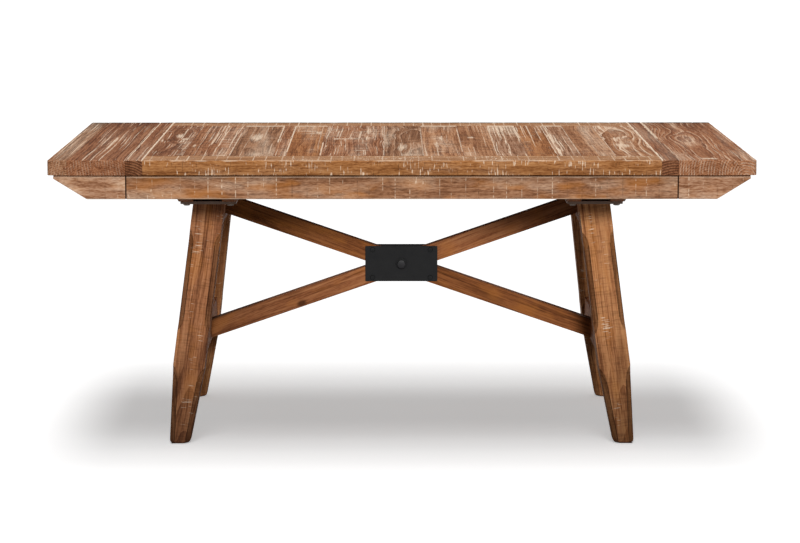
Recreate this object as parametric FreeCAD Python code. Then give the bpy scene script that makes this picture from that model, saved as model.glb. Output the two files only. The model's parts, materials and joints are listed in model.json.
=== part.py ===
# Extending trestle dining table. The planked top has a pull-out end on each
# side, carried by wooden runners. Four splayed legs stand on stop-chamfered
# feet and a crossed brace ties the two pairs together.
# Millimetres. X runs along the table, the front looks towards -Y, Z is up,
# and the origin is on the floor below the middle of the top.
import FreeCAD
import Part
import math
import os

# Whole table
table_length = 1778.0
table_depth = 1016.0
table_height = 762.0
top_thickness = 38.0

# Fits that several pieces share
joint_gap = 0.1          # glued, screwed or pressed joints
slide_gap = 0.5          # round each runner
overrun = 5.0            # how far a cut passes the face that it opens
eased_edge = 1.5         # small bevel on handled edges
hex_sides = 6
screw_head_sides = 12    # few faces on a small round head
shank_sides = 8          # plain flats stand for the thread of a hidden shank and its bore

# Planked field and the boards round it
end_width = 196.0        # from the pull-out seam to the end of the table
seam_gap = 0.6
strip_width = 42.0
edge_rail_width = 104.0
tongue_thickness = 9.0
tongue_length = 8.0
corner_radius = 9.0
plank_width_shares = (9.0, 12.2, 11.0, 3.3, 8.8, 16.2, 10.1, 10.2, 8.7, 7.6, 7.6, 5.9, 8.9, 10.5)
end_board_width_shares = (3.0, 1.0)

# Alignment dowels across each seam
dowel_diameter = 10.0
dowel_length = 40.0
dowel_reach = 14.0       # how far a dowel stands out of the pull-out end
dowel_gap = 0.3
dowel_y_shares = (-0.7, 0.0, 0.7)

# Apron below the top
apron_height = 61.0
apron_thickness = 22.0
apron_setback = 6.0
apron_seam_gap = 3.0
shadow_line_height = 4.0
shadow_line_depth = 6.0
apron_tip_inset = 14.0   # from the end of the top to the apron's pointed tip
apron_tip_height = 5.0
apron_slope_run = 84.0

# Cross members of the centre frame
bearer_thickness = 38.0
bearer_depth = 96.0
bearer_deep_half = 266.0     # half the length that keeps the full depth
bearer_shallow_half = 400.0  # beyond this the bearer is as deep as the apron
end_rail_thickness = 22.0

# Runners of the pull-out ends
end_travel = 457.0
runner_width = 36.0
runner_height = 44.0
runner_stop_length = 12.0
runner_stop_drop = 12.0
runner_offset = 330.0    # from the table's middle line to an end's first runner
runner_stagger = 60.0    # its second runner lies this much nearer, so that the two ends' runners pass

# Legs
leg_size = 82.0
leg_end_inset = 385.0    # from the end of the table to a leg's top centre
leg_side_inset = 324.0   # from the side of the table to a leg's top centre
leg_splay_x = 76.0
leg_splay_y = 128.0
foot_size = 53.0
foot_taper_height = 200.0
chamfer_width = 13.0
tongue_run = 36.0        # length of the curved run-out of a stop chamfer
shaft_chamfer_low = 287.0
shaft_chamfer_high = 556.0
foot_chamfer_high = 198.0

# Plates, bolts and lag bolts on the leg tops
leg_plate_size = 146.0
leg_plate_thickness = 8.0
leg_plate_radius = 10.0
leg_plate_bolt_offset = 57.0
leg_bolt_diameter = 8.0
leg_bolt_length = 48.0
leg_bolt_head = 15.0
leg_bolt_head_height = 5.0
lag_diameter = 10.0
lag_length = 60.0
lag_head = 17.0
lag_head_height = 6.0

# Rails between the two legs of a pair
rail_width = 68.0
lower_rail_bottom = 222.0
lower_rail_height = 78.0
upper_rail_height = 68.0
tenon_width = 24.0
tenon_length = 22.0
tenon_shoulder = 10.0

# Crossed brace
brace_width = 48.0
brace_thickness = 36.0
brace_foot_rise = 29.0   # from the lower rail's bottom to the brace's centre line
brace_head_drop = 28.0   # from the upper rail's top to the brace's centre line
brace_housing = 8.0      # depth of the brace's seat in each rail
brace_cover = 3.0        # wood left above the upper seat and below the lower one

# Plates on the crossing, their screws and the bolt through it
cross_plate_length = 195.0
cross_plate_height = 96.0
cross_plate_thickness = 3.0
cross_plate_radius = 2.0
cross_screw_x = 78.0
cross_screw_z = 38.0
cross_screw_head = 13.0
cross_screw_head_height = 3.0
cross_screw_diameter = 5.0
cross_screw_length = 13.0
cross_bolt_diameter = 12.0
cross_bolt_head = 22.0
cross_bolt_head_height = 8.0
cross_washer_diameter = 31.0
cross_washer_thickness = 2.5

# Places worked out from the sizes above
half_length = table_length / 2
half_depth = table_depth / 2
underside = table_height - top_thickness
seam_x = half_length - end_width
centre_edge = seam_x - seam_gap / 2
end_edge = seam_x + seam_gap / 2
field_half = seam_x - strip_width
field_depth = half_depth - edge_rail_width
tongue_low = underside + (top_thickness - tongue_thickness) / 2
tongue_high = tongue_low + tongue_thickness
dowel_z = underside + top_thickness / 2
apron_face = half_depth - apron_setback
apron_back = apron_face - apron_thickness
apron_bottom = underside - apron_height
apron_tip = half_length - apron_tip_inset
end_rail_face = apron_tip - apron_slope_run
bearer_bottom = underside - bearer_depth
leg_top = bearer_bottom - leg_plate_thickness
leg_top_x = half_length - leg_end_inset
leg_top_y = half_depth - leg_side_inset
bearer_places = (leg_top_x - leg_plate_bolt_offset, leg_top_x + leg_plate_bolt_offset)
runner_top = underside - slide_gap
runner_bottom = runner_top - runner_height
runner_stop_face = bearer_places[0] - bearer_thickness / 2 - slide_gap - end_travel
runner_lines = (runner_offset, runner_stagger - runner_offset)
seam_rail_out = centre_edge - apron_seam_gap / 2
lower_rail_top = lower_rail_bottom + lower_rail_height
upper_rail_bottom = leg_top - upper_rail_height

X_AXIS = FreeCAD.Vector(1, 0, 0)
Y_AXIS = FreeCAD.Vector(0, 1, 0)
Z_AXIS = FreeCAD.Vector(0, 0, 1)
ORIGIN = FreeCAD.Vector(0, 0, 0)


def save(node, *solids):
    """Write one sub-part, or a group of like fasteners, as its own file."""
    shape = solids[0] if len(solids) == 1 else Part.makeCompound(list(solids))
    shape.exportStep("parts/" + node + ".step")


def box(x_range, y_range, z_range):
    corner = FreeCAD.Vector(x_range[0], y_range[0], z_range[0])
    return Part.makeBox(x_range[1] - x_range[0], y_range[1] - y_range[0], z_range[1] - z_range[0], corner)


def about(centre, size):
    return (centre - size / 2, centre + size / 2)


def rod(start, direction, diameter, length):
    return Part.makeCylinder(diameter / 2, length, start, direction)


def prism(sides, start, direction, across, height):
    """A bolt head, nut or plain shank with flat sides, measured across its flats."""
    corner_circle = across / 2 / math.cos(math.pi / sides)
    turn = FreeCAD.Rotation(Z_AXIS, direction)
    points = []
    for step in range(sides + 1):
        angle = 2 * math.pi * step / sides
        flat = FreeCAD.Vector(corner_circle * math.cos(angle), corner_circle * math.sin(angle), 0)
        points.append(start + turn.multVec(flat))
    return Part.Face(Part.makePolygon(points)).extrude(direction * height)


def hexagon(start, direction, across, height):
    return prism(hex_sides, start, direction, across, height)


def shank(start, direction, across, length):
    return prism(shank_sides, start, direction, across, length)


def outline_along_y(points, y_range):
    """A closed outline of (x, z) points, carried along Y."""
    loop = [FreeCAD.Vector(x, y_range[0], z) for x, z in points + points[:1]]
    return Part.Face(Part.makePolygon(loop)).extrude(Y_AXIS * (y_range[1] - y_range[0]))


def outline_along_x(points, x_range):
    """A closed outline of (y, z) points, carried along X."""
    loop = [FreeCAD.Vector(x_range[0], y, z) for y, z in points + points[:1]]
    return Part.Face(Part.makePolygon(loop)).extrude(X_AXIS * (x_range[1] - x_range[0]))


def mirrored_x(shape):
    return shape.mirror(ORIGIN, X_AXIS)


def mirrored_y(shape):
    return shape.mirror(ORIGIN, Y_AXIS)


def turned(shape):
    """The same piece at the other end of the table, half a turn round."""
    copy = shape.copy()
    copy.rotate(ORIGIN, Z_AXIS, 180)
    return copy


def eased(shape, wanted, size=eased_edge):
    """Bevel the straight edges that the test picks by their two ends."""
    edges = []
    for edge in shape.Edges:
        first, last = edge.Vertexes[0].Point, edge.Vertexes[-1].Point
        if wanted(first, last):
            edges.append(edge)
    return shape.makeChamfer(size, edges)


def both_at(axis_index, value):
    """A test for edges whose two ends share one coordinate."""
    def test(first, last):
        return abs(first[axis_index] - value) < joint_gap and abs(last[axis_index] - value) < joint_gap
    return test


# Table top

def top_board(x_range, y_range, tongue_span=None, groove_span=None):
    """A board with its grain front to back, a tongue on its +X edge and a groove in its -X edge."""
    board = eased(box(x_range, y_range, (underside, table_height)), both_at(2, table_height))
    if groove_span:
        depth = (x_range[0] - overrun, x_range[0] + tongue_length + joint_gap)
        height = (tongue_low - joint_gap, tongue_high + joint_gap)
        board = board.cut(box(depth, groove_span, height))
    if tongue_span:
        reach = (x_range[1] - overrun, x_range[1] + tongue_length)
        board = board.fuse(box(reach, tongue_span, (tongue_low, tongue_high))).removeSplitter()
    return board


def top_plank(x_range):
    """A field plank, also tongued into the edge rails at both ends."""
    span = (-field_depth, field_depth)
    plank = top_board(x_range, span, span, span)
    reach = (-field_depth - tongue_length, field_depth + tongue_length)
    inset = (x_range[0] + tongue_length + joint_gap, x_range[1])
    return plank.fuse(box(inset, reach, (tongue_low, tongue_high))).removeSplitter()


def edge_rail():
    """The front edge rail, grooved along its inner edge for the planks."""
    rail = box((-field_half, field_half), (-half_depth, -field_depth), (underside, table_height))
    rail = eased(rail, both_at(2, table_height))
    depth = (-field_depth - tongue_length - joint_gap, -field_depth + overrun)
    return rail.cut(box((-field_half, field_half), depth, (tongue_low - joint_gap, tongue_high + joint_gap)))


def dowel_rods(start, diameter, length):
    rods = []
    for share in dowel_y_shares:
        place = FreeCAD.Vector(start, share * half_depth, dowel_z)
        rods.append(rod(place, X_AXIS, diameter, length))
    return rods


def seam_strip(right):
    """The strip beside a seam, bored for the pull-out end's dowels."""
    joint = (-field_depth, field_depth)
    across = (field_half, centre_edge)
    depth = (-half_depth, half_depth)
    hole_depth = dowel_reach - seam_gap + dowel_gap
    holes = dowel_rods(centre_edge - hole_depth, dowel_diameter + 2 * dowel_gap, hole_depth + overrun)
    if right:
        return top_board(across, depth, groove_span=joint).cut(Part.makeCompound(holes))
    left = top_board((-centre_edge, -field_half), depth, tongue_span=joint)
    return left.cut(mirrored_x(Part.makeCompound(holes)))


def end_boards():
    """The right pull-out end's inner and outer boards."""
    depth = (-half_depth, half_depth)
    width = half_length - end_edge
    split = end_edge + width * end_board_width_shares[0] / sum(end_board_width_shares)
    inner = top_board((end_edge, split), depth, tongue_span=depth)
    buried = dowel_length - dowel_reach + joint_gap
    holes = dowel_rods(end_edge - overrun, dowel_diameter + 2 * joint_gap, overrun + buried)
    inner = inner.cut(Part.makeCompound(holes))
    blank = box((split, half_length), depth, (underside, table_height))
    corners = [e for e in blank.Edges
               if abs(e.Length - top_thickness) < joint_gap and e.CenterOfMass.x > split]
    rounded = blank.makeFillet(corner_radius, corners)
    rim = [e for e in rounded.Edges if abs(e.BoundBox.ZMin - table_height) < joint_gap]
    outer = rounded.makeChamfer(eased_edge, rim)
    groove = (split - overrun, split + tongue_length + joint_gap)
    outer = outer.cut(box(groove, depth, (tongue_low - joint_gap, tongue_high + joint_gap)))
    return inner, outer


def save_top():
    scale = 2 * field_half / sum(plank_width_shares)
    left = -field_half
    for number, share in enumerate(plank_width_shares, 1):
        right = left + share * scale
        save("top_plank_%02d" % number, top_plank((left, right)))
        left = right
    front = edge_rail()
    save("front_edge_rail", front)
    save("rear_edge_rail", mirrored_y(front))
    save("left_seam_strip", seam_strip(False))
    save("right_seam_strip", seam_strip(True))
    inner, outer = end_boards()
    dowels = dowel_rods(end_edge - dowel_reach, dowel_diameter, dowel_length)
    for side, place in (("right", lambda shape: shape), ("left", turned)):
        save(side + "_end_inner_board", place(inner))
        save(side + "_end_outer_board", place(outer))
        save(side + "_seam_dowels", *[place(dowel) for dowel in dowels])


# Apron and cross members

def shadow_line(x_range):
    """The rebate along the top of the front apron that leaves a dark line below the top."""
    depth = (-apron_face - overrun, -apron_face + shadow_line_depth)
    return box(x_range, depth, (underside - shadow_line_height, underside + overrun))


def front_apron():
    reach = seam_x - apron_seam_gap / 2
    apron = box((-reach, reach), (-apron_face, -apron_back), (apron_bottom, underside))
    apron = eased(apron, lambda a, b: both_at(2, apron_bottom)(a, b) and both_at(1, -apron_face)(a, b))
    return apron.cut(shadow_line((-reach - overrun, reach + overrun)))


def front_apron_end():
    """The right front apron end, cut to a slope below its pointed tip."""
    start = seam_x + apron_seam_gap / 2
    tip_low = underside - shadow_line_height - apron_tip_height
    outline = [(start, apron_bottom), (end_rail_face, apron_bottom), (apron_tip, tip_low),
               (apron_tip, underside), (start, underside)]
    apron = outline_along_y(outline, (-apron_face, -apron_back))
    apron = eased(apron, lambda a, b: both_at(2, apron_bottom)(a, b) and both_at(1, -apron_face)(a, b))
    return apron.cut(shadow_line((start - overrun, apron_tip + overrun)))


def runner_notches(x_range, gap):
    """Openings for the right end's runners in a member across the frame."""
    wide = runner_width + 2 * gap
    height = (runner_bottom - gap, underside + overrun)
    return [box(x_range, about(line, wide), height) for line in runner_lines]


def bearer(place):
    """A cross member, deep over the leg plates and shallow at the aprons."""
    across = about(place, bearer_thickness)
    outline = [(-apron_back, underside), (-apron_back, apron_bottom), (-bearer_shallow_half, apron_bottom),
               (-bearer_deep_half, bearer_bottom), (bearer_deep_half, bearer_bottom),
               (bearer_shallow_half, apron_bottom), (apron_back, apron_bottom), (apron_back, underside)]
    blank = outline_along_x(outline, across)
    cuts = runner_notches((across[0] - overrun, across[1] + overrun), slide_gap)
    return blank.cut(Part.makeCompound(cuts + leg_bolt_holes()))


def seam_rail():
    across = (seam_rail_out - bearer_thickness, seam_rail_out)
    blank = box(across, (-apron_back, apron_back), (apron_bottom, underside))
    cuts = runner_notches((across[0] - overrun, across[1] + overrun), slide_gap)
    return blank.cut(Part.makeCompound(cuts))


def end_rail():
    across = (end_rail_face - end_rail_thickness, end_rail_face)
    blank = box(across, (-apron_back, apron_back), (apron_bottom, underside))
    cuts = runner_notches((across[0] - overrun, across[1] + overrun), joint_gap)
    return blank.cut(Part.makeCompound(cuts))


def runner(line):
    """A runner let through the end rail, with a stop under its inner end."""
    bar_start = runner_stop_face - runner_stop_length
    across = about(line, runner_width)
    bar = box((bar_start, end_rail_face), across, (runner_bottom, runner_top))
    stop = box((bar_start, runner_stop_face), across, (runner_bottom - runner_stop_drop, runner_top))
    return bar.fuse(stop).removeSplitter()


def save_frame():
    apron = front_apron()
    save("front_apron", apron)
    save("rear_apron", mirrored_y(apron))
    corner = front_apron_end()
    save("right_front_apron_end", corner)
    save("right_rear_apron_end", mirrored_y(corner))
    save("left_front_apron_end", mirrored_x(corner))
    save("left_rear_apron_end", turned(corner))
    inner_bearer, outer_bearer = [bearer(place) for place in bearer_places]
    for side, place in (("right", lambda shape: shape), ("left", turned)):
        save(side + "_inner_bearer", place(inner_bearer))
        save(side + "_outer_bearer", place(outer_bearer))
        save(side + "_seam_rail", place(seam_rail()))
        save(side + "_end_rail", place(end_rail()))
        rear, front = [place(runner(line)) for line in runner_lines]
        if side == "left":
            rear, front = front, rear
        save(side + "_rear_runner", rear)
        save(side + "_front_runner", front)


# Legs and the rails between them

def edge_radius(height):
    """Distance of a leg's corner from its axis, at a height along the axis."""
    share = min(height / foot_taper_height, 1.0)
    return (foot_size + (leg_size - foot_size) * share) / math.sqrt(2)


def stop_chamfer(low, high, open_low):
    """The wood taken off one corner: a flat chamfer whose ends run out in an arc."""
    depth = chamfer_width / math.sqrt(2)
    arc_radius = (depth ** 2 + tongue_run ** 2) / (2 * depth)
    half_turn = math.asin(tongue_run / arc_radius) / 2
    mid_run = tongue_run - arc_radius * math.sin(half_turn)
    mid_depth = depth - arc_radius * (1 - math.cos(half_turn))
    outside = leg_size

    def at(height, cut):
        return FreeCAD.Vector(edge_radius(height) - cut, 0, height)

    def arc(end, towards):
        points = (at(end, 0), at(end + towards * mid_run, mid_depth), at(end + towards * tongue_run, depth))
        return Part.Arc(*points).toShape(), points

    upper, (upper_edge, _, upper_flat) = arc(high, -1)
    edges = [upper]
    outer_high = FreeCAD.Vector(outside, 0, high)
    if open_low:
        lower_flat = FreeCAD.Vector(edge_radius(0) - depth, 0, -overrun)
        outer_low = FreeCAD.Vector(outside, 0, -overrun)
        edges += [Part.makeLine(upper_flat, at(0, depth)), Part.makeLine(at(0, depth), lower_flat),
                  Part.makeLine(lower_flat, outer_low)]
    else:
        lower, (lower_edge, _, lower_flat) = arc(low, 1)
        outer_low = FreeCAD.Vector(outside, 0, low)
        edges += [Part.makeLine(upper_flat, lower_flat), lower, Part.makeLine(lower_edge, outer_low)]
    edges += [Part.makeLine(outer_low, outer_high), Part.makeLine(outer_high, upper_edge)]
    face = Part.Face(Part.Wire(Part.__sortEdges__(edges)))
    face.translate(Y_AXIS * -leg_size / 2)
    return face.extrude(Y_AXIS * leg_size)


def square(size, height):
    half = size / 2
    corners = [(-half, -half), (half, -half), (half, half), (-half, half), (-half, -half)]
    return Part.makePolygon([FreeCAD.Vector(x, y, height) for x, y in corners])


def upright_leg():
    """A leg on its own axis: square shaft, tapered foot, stop-chamfered corners."""
    shaft_length = leg_top + leg_size
    below = -leg_size
    shaft = Part.makeBox(leg_size, leg_size, shaft_length - foot_taper_height,
                         FreeCAD.Vector(-leg_size / 2, -leg_size / 2, foot_taper_height))
    taper = (leg_size - foot_size) / foot_taper_height
    sections = [square(foot_size + taper * below, below), square(leg_size, foot_taper_height)]
    foot = Part.makeLoft(sections, True, True)
    leg = shaft.fuse(foot).removeSplitter()
    cuts = []
    for corner in range(4):
        for chamfer in (stop_chamfer(shaft_chamfer_low, shaft_chamfer_high, False),
                        stop_chamfer(0, foot_chamfer_high, True)):
            chamfer.rotate(ORIGIN, Z_AXIS, 45 + 90 * corner)
            cuts.append(chamfer)
    return leg.cut(Part.makeCompound(cuts))


def splayed_leg():
    """The front right leg, leaned to its splay and cut level at the floor and the plate."""
    leg = upright_leg()
    lean_y = math.atan(-leg_splay_x / leg_top)
    lean_x = math.atan(-leg_splay_y / leg_top * math.cos(lean_y))
    leg.rotate(ORIGIN, X_AXIS, math.degrees(lean_x))
    leg.rotate(ORIGIN, Y_AXIS, math.degrees(lean_y))
    leg.translate(FreeCAD.Vector(leg_top_x + leg_splay_x, -leg_top_y - leg_splay_y, 0))
    reach = box((0, table_length), (-table_depth, 0), (0, leg_top))
    return leg.common(reach)


def leg_centre(height):
    """The leg axis's distance from the table's middle along X and Y, at a height."""
    share = 1 - height / leg_top
    return leg_top_x + leg_splay_x * share, leg_top_y + leg_splay_y * share


def tenon(z_range, gap):
    """The stub tenons at both ends of a rail, as one bar, with a gap all round it."""
    middle = sum(z_range) / 2
    centre_x, centre_y = leg_centre(middle)
    reach = centre_y - leg_size / 2 + tenon_length + gap
    height = (z_range[0] + tenon_shoulder - gap, z_range[1] - tenon_shoulder + gap)
    return box(about(centre_x, tenon_width + 2 * gap), (-reach, reach), height)


def cross_rail(z_range, legs):
    """A rail on the right, shouldered against both leaning legs and tenoned into them."""
    centre_x, centre_y = leg_centre(sum(z_range) / 2)
    blank = box(about(centre_x, rail_width), (-centre_y, centre_y), z_range)
    for leg in legs:
        blank = blank.cut(leg)
    body = max(blank.Solids, key=lambda solid: solid.Volume)
    return body.fuse(tenon(z_range, 0)).removeSplitter()


def rail_inner_face(z_range):
    return leg_centre(sum(z_range) / 2)[0] - rail_width / 2


# Crossed brace

lower_rail = (lower_rail_bottom, lower_rail_top)
upper_rail = (upper_rail_bottom, leg_top)
brace_foot_z = lower_rail_bottom + brace_foot_rise
brace_head_z = leg_top - brace_head_drop


def brace_line(x):
    """Height of the rising brace's centre line."""
    foot_x = -rail_inner_face(lower_rail)
    head_x = rail_inner_face(upper_rail)
    return brace_foot_z + (brace_head_z - brace_foot_z) * (x - foot_x) / (head_x - foot_x)


def brace_bar(gap):
    """The brace that rises to the right, let into the rails at both ends."""
    foot_x = -rail_inner_face(lower_rail) - brace_housing - gap
    head_x = rail_inner_face(upper_rail) + brace_housing + gap
    slope = math.atan2(brace_line(head_x) - brace_line(foot_x), head_x - foot_x)
    half_height = (brace_width / 2 + gap) / math.cos(slope)
    outline = [(foot_x, brace_line(foot_x) - half_height), (head_x, brace_line(head_x) - half_height),
               (head_x, brace_line(head_x) + half_height), (foot_x, brace_line(foot_x) + half_height)]
    bar = outline_along_y(outline, about(0, brace_thickness + 2 * gap))
    level = (lower_rail_bottom + brace_cover - gap, leg_top - brace_cover + gap)
    return bar.common(box(about(0, table_length), about(0, table_depth), level))


def screw_places():
    middle = brace_line(0)
    return [(x, middle + z) for x in (-cross_screw_x, cross_screw_x) for z in (-cross_screw_z, cross_screw_z)]


def cross_screw(x, z):
    """A low-headed screw through the front plate into the brace."""
    seat = FreeCAD.Vector(x, -brace_thickness / 2 - cross_plate_thickness, z)
    head = prism(screw_head_sides, seat, -Y_AXIS, cross_screw_head, cross_screw_head_height)
    return head.fuse(shank(seat, Y_AXIS, cross_screw_diameter, cross_screw_length))


def cross_holes():
    """Bores for the crossing's bolt and for the screws of both plates."""
    start = -brace_thickness / 2 - cross_plate_thickness - overrun
    bolt_bore = cross_bolt_diameter + 2 * joint_gap
    screw_bore = cross_screw_diameter + 2 * joint_gap
    screw_reach = overrun + cross_screw_length + joint_gap
    holes = [shank(FreeCAD.Vector(0, start, brace_line(0)), Y_AXIS, bolt_bore, -2 * start)]
    for x, z in screw_places():
        hole = shank(FreeCAD.Vector(x, start, z), Y_AXIS, screw_bore, screw_reach)
        holes += [hole, mirrored_y(hole)]
    return Part.makeCompound(holes)


def half_lapped_braces():
    """The two braces, each notched to half its thickness where they cross."""
    rising = brace_bar(0)
    falling = mirrored_x(rising)
    lap = rising.common(falling)
    front = lap.common(box(about(0, table_length), (-table_depth, 0), (0, table_height)))
    rear = lap.common(box(about(0, table_length), (0, table_depth), (0, table_height)))
    return rising.cut(front).cut(cross_holes()), falling.cut(rear).cut(cross_holes())


def cross_plate():
    """The front plate on the crossing."""
    face = -brace_thickness / 2
    blank = box(about(0, cross_plate_length), (face - cross_plate_thickness, face),
                about(brace_line(0), cross_plate_height))
    corners = [e for e in blank.Edges if abs(e.Length - cross_plate_thickness) < joint_gap]
    return blank.makeFillet(cross_plate_radius, corners).cut(cross_holes())


def cross_bolt_set():
    """The crossing's bolt, its two washers and its nut."""
    middle = brace_line(0)
    plate_face = brace_thickness / 2 + cross_plate_thickness
    seat = plate_face + cross_washer_thickness
    bore = cross_bolt_diameter + 2 * joint_gap
    head = hexagon(FreeCAD.Vector(0, -seat, middle), -Y_AXIS, cross_bolt_head, cross_bolt_head_height)
    shank_length = 2 * seat + cross_bolt_head_height
    bolt = head.fuse(shank(FreeCAD.Vector(0, -seat, middle), Y_AXIS, cross_bolt_diameter, shank_length))
    nut = hexagon(FreeCAD.Vector(0, seat, middle), Y_AXIS, cross_bolt_head, cross_bolt_head_height)
    hole = shank(FreeCAD.Vector(0, -seat, middle), Y_AXIS, bore, 2 * seat + 2 * cross_bolt_head_height)
    washers = [rod(FreeCAD.Vector(0, start, middle), Y_AXIS, cross_washer_diameter, cross_washer_thickness)
               for start in (-seat, plate_face)]
    return [bolt, nut.cut(hole)] + [washer.cut(hole) for washer in washers]


# Plates and bolts on the leg tops

def leg_bolt_places():
    """Where the bolts go through the two right leg plates."""
    places = []
    for side in (-1, 1):
        for x in bearer_places:
            for offset in (-leg_plate_bolt_offset, leg_plate_bolt_offset):
                places.append((x, side * leg_top_y + offset))
    return places


def leg_bolt_holes():
    bore = leg_bolt_diameter + 2 * joint_gap
    length = leg_bolt_length + joint_gap
    return [shank(FreeCAD.Vector(x, y, leg_top), Z_AXIS, bore, length) for x, y in leg_bolt_places()]


def leg_bolts():
    """Hexagonal bolts through the right leg plates into the bearers."""
    bolts = []
    for x, y in leg_bolt_places():
        foot = FreeCAD.Vector(x, y, leg_top)
        head = hexagon(foot, -Z_AXIS, leg_bolt_head, leg_bolt_head_height)
        bolts.append(head.fuse(shank(foot, Z_AXIS, leg_bolt_diameter, leg_bolt_length)))
    return bolts


def lag_hole():
    """The bore for the lag bolt down into the front right leg, through its plate."""
    bottom = leg_top - lag_length - joint_gap
    length = lag_length + leg_plate_thickness + overrun
    return shank(FreeCAD.Vector(leg_top_x, -leg_top_y, bottom), Z_AXIS, lag_diameter + 2 * joint_gap, length)


def lag_bolt():
    top = FreeCAD.Vector(leg_top_x, -leg_top_y, bearer_bottom)
    head = hexagon(top, Z_AXIS, lag_head, lag_head_height)
    return head.fuse(shank(top, -Z_AXIS, lag_diameter, lag_length + leg_plate_thickness))


def leg_plate():
    """The steel plate on the front right leg."""
    blank = box(about(leg_top_x, leg_plate_size), about(-leg_top_y, leg_plate_size), (leg_top, bearer_bottom))
    corners = [e for e in blank.Edges if abs(e.Length - leg_plate_thickness) < joint_gap]
    plate = blank.makeFillet(leg_plate_radius, corners)
    return plate.cut(Part.makeCompound(leg_bolt_holes() + [lag_hole()]))


def four_corners(shape):
    """Front right, rear right, front left and rear left copies of a corner piece."""
    return {"front_right": shape, "rear_right": mirrored_y(shape),
            "front_left": mirrored_x(shape), "rear_left": turned(shape)}


def save_base():
    blank = splayed_leg()
    legs = (blank, mirrored_y(blank))
    mortises = [tenon(rail, joint_gap) for rail in (lower_rail, upper_rail)]
    leg = blank.cut(Part.makeCompound(mortises + [lag_hole()]))
    for corner, shape in four_corners(leg).items():
        save(corner + "_leg", shape)
    seats = Part.makeCompound([brace_bar(joint_gap), mirrored_x(brace_bar(joint_gap))])
    for level, rail in (("lower", lower_rail), ("upper", upper_rail)):
        shape = cross_rail(rail, legs).cut(seats)
        save("right_" + level + "_rail", shape)
        save("left_" + level + "_rail", mirrored_x(shape))
    rising, falling = half_lapped_braces()
    save("rising_brace", rising)
    save("falling_brace", falling)
    plate = cross_plate()
    save("front_cross_plate", plate)
    save("rear_cross_plate", mirrored_y(plate))
    screws = [cross_screw(x, z) for x, z in screw_places()]
    save("cross_plate_screws", *(screws + [mirrored_y(screw) for screw in screws]))
    save("cross_bolt_set", *cross_bolt_set())
    save("leg_plates", *four_corners(leg_plate()).values())
    save("leg_lag_bolts", *four_corners(lag_bolt()).values())
    bolts = leg_bolts()
    save("leg_plate_bolts", *(bolts + [mirrored_x(bolt) for bolt in bolts]))


os.makedirs("parts", exist_ok=True)
save_top()
save_frame()
save_base()
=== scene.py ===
"""Looks of the extending trestle dining table: whitewashed pine, steel fittings, light, floor and camera."""
import json
import math
import random
import bpy
from mathutils import Matrix, Vector, noise


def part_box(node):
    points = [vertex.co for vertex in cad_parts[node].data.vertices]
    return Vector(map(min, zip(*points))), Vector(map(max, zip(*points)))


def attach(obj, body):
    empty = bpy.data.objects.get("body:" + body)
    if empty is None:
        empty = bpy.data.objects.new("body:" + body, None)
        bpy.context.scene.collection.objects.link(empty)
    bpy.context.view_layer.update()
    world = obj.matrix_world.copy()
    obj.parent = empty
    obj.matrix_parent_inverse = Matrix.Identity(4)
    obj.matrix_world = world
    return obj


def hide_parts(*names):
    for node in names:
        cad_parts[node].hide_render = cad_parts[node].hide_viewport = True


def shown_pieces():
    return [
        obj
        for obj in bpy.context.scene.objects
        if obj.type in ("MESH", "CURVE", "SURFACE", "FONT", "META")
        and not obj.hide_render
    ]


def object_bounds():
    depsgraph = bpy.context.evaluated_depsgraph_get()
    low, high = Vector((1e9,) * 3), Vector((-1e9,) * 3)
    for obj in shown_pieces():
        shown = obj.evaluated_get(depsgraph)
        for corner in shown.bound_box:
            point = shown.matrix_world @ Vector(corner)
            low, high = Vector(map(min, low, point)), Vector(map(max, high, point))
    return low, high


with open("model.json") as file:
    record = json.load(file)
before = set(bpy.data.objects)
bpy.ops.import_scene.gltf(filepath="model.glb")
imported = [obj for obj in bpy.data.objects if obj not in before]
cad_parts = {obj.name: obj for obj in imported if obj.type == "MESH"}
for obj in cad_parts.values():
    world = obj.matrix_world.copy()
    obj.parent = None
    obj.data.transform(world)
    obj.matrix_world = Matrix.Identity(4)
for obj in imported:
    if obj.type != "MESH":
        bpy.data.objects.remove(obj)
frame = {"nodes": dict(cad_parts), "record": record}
cad_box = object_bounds()
nodes = frame["nodes"]
body_of = {name: body for body, names in frame["record"]["behaviour"]["bodies"].items() for name in names}
slot_of = {part["node"]: part["material_slot"] for part in frame["record"]["subparts"]}

MM = 0.001
X, Y, Z = Vector((1, 0, 0)), Vector((0, 1, 0)), Vector((0, 0, 1))
FRONT = cad_box[0].y
END = cad_box[1].x
TOP = cad_box[1].z

# A board's own axes, by number.
ALONG, ACROSS, OUT = 0, 1, 2

# A wave texture runs through this many radians for each unit of its scale.
WAVE_RATE = 20.0

# Stained pine, from the dark late wood to the pale early wood, and what lies over it.
TONES = {
    "umber": ("#5c3520", "#835236", "#9b6a4b"),
    "chestnut": ("#683d24", "#915d3e", "#aa7856"),
    "honey": ("#6f4122", "#955e38", "#ac764b"),
    "fawn": ("#6f462d", "#9b6f52", "#b48d72"),
    "tan": ("#74472b", "#9f6d4b", "#b58561"),
    "amber": ("#6f411f", "#986338", "#b07c4e"),
    "drab": ("#623e27", "#8c6043", "#a57a5c"),
    "russet": ("#4e2a17", "#966140", "#b27d57"),
    "copper": ("#5f3419", "#a56e47", "#bf895b"),
    "auburn": ("#4a2612", "#8d5635", "#a9724b"),
    "cocoa": ("#42230f", "#784626", "#925c35"),
    # Near black: the painted shade in the apron joints.
    "joint_shade_black": ("#1c100a", "#2a1a11", "#382519"),
    "beech": ("#7d5c3c", "#a27c50", "#b99563"),
}
WHITEWASH = "#e3ccb3"
GLAZE = "#29170c"
KNOT = "#3f2211"
RUST = "#b06e30"
WHITE = "#ffffff"
PAPER = "#b1b1b1"

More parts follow.
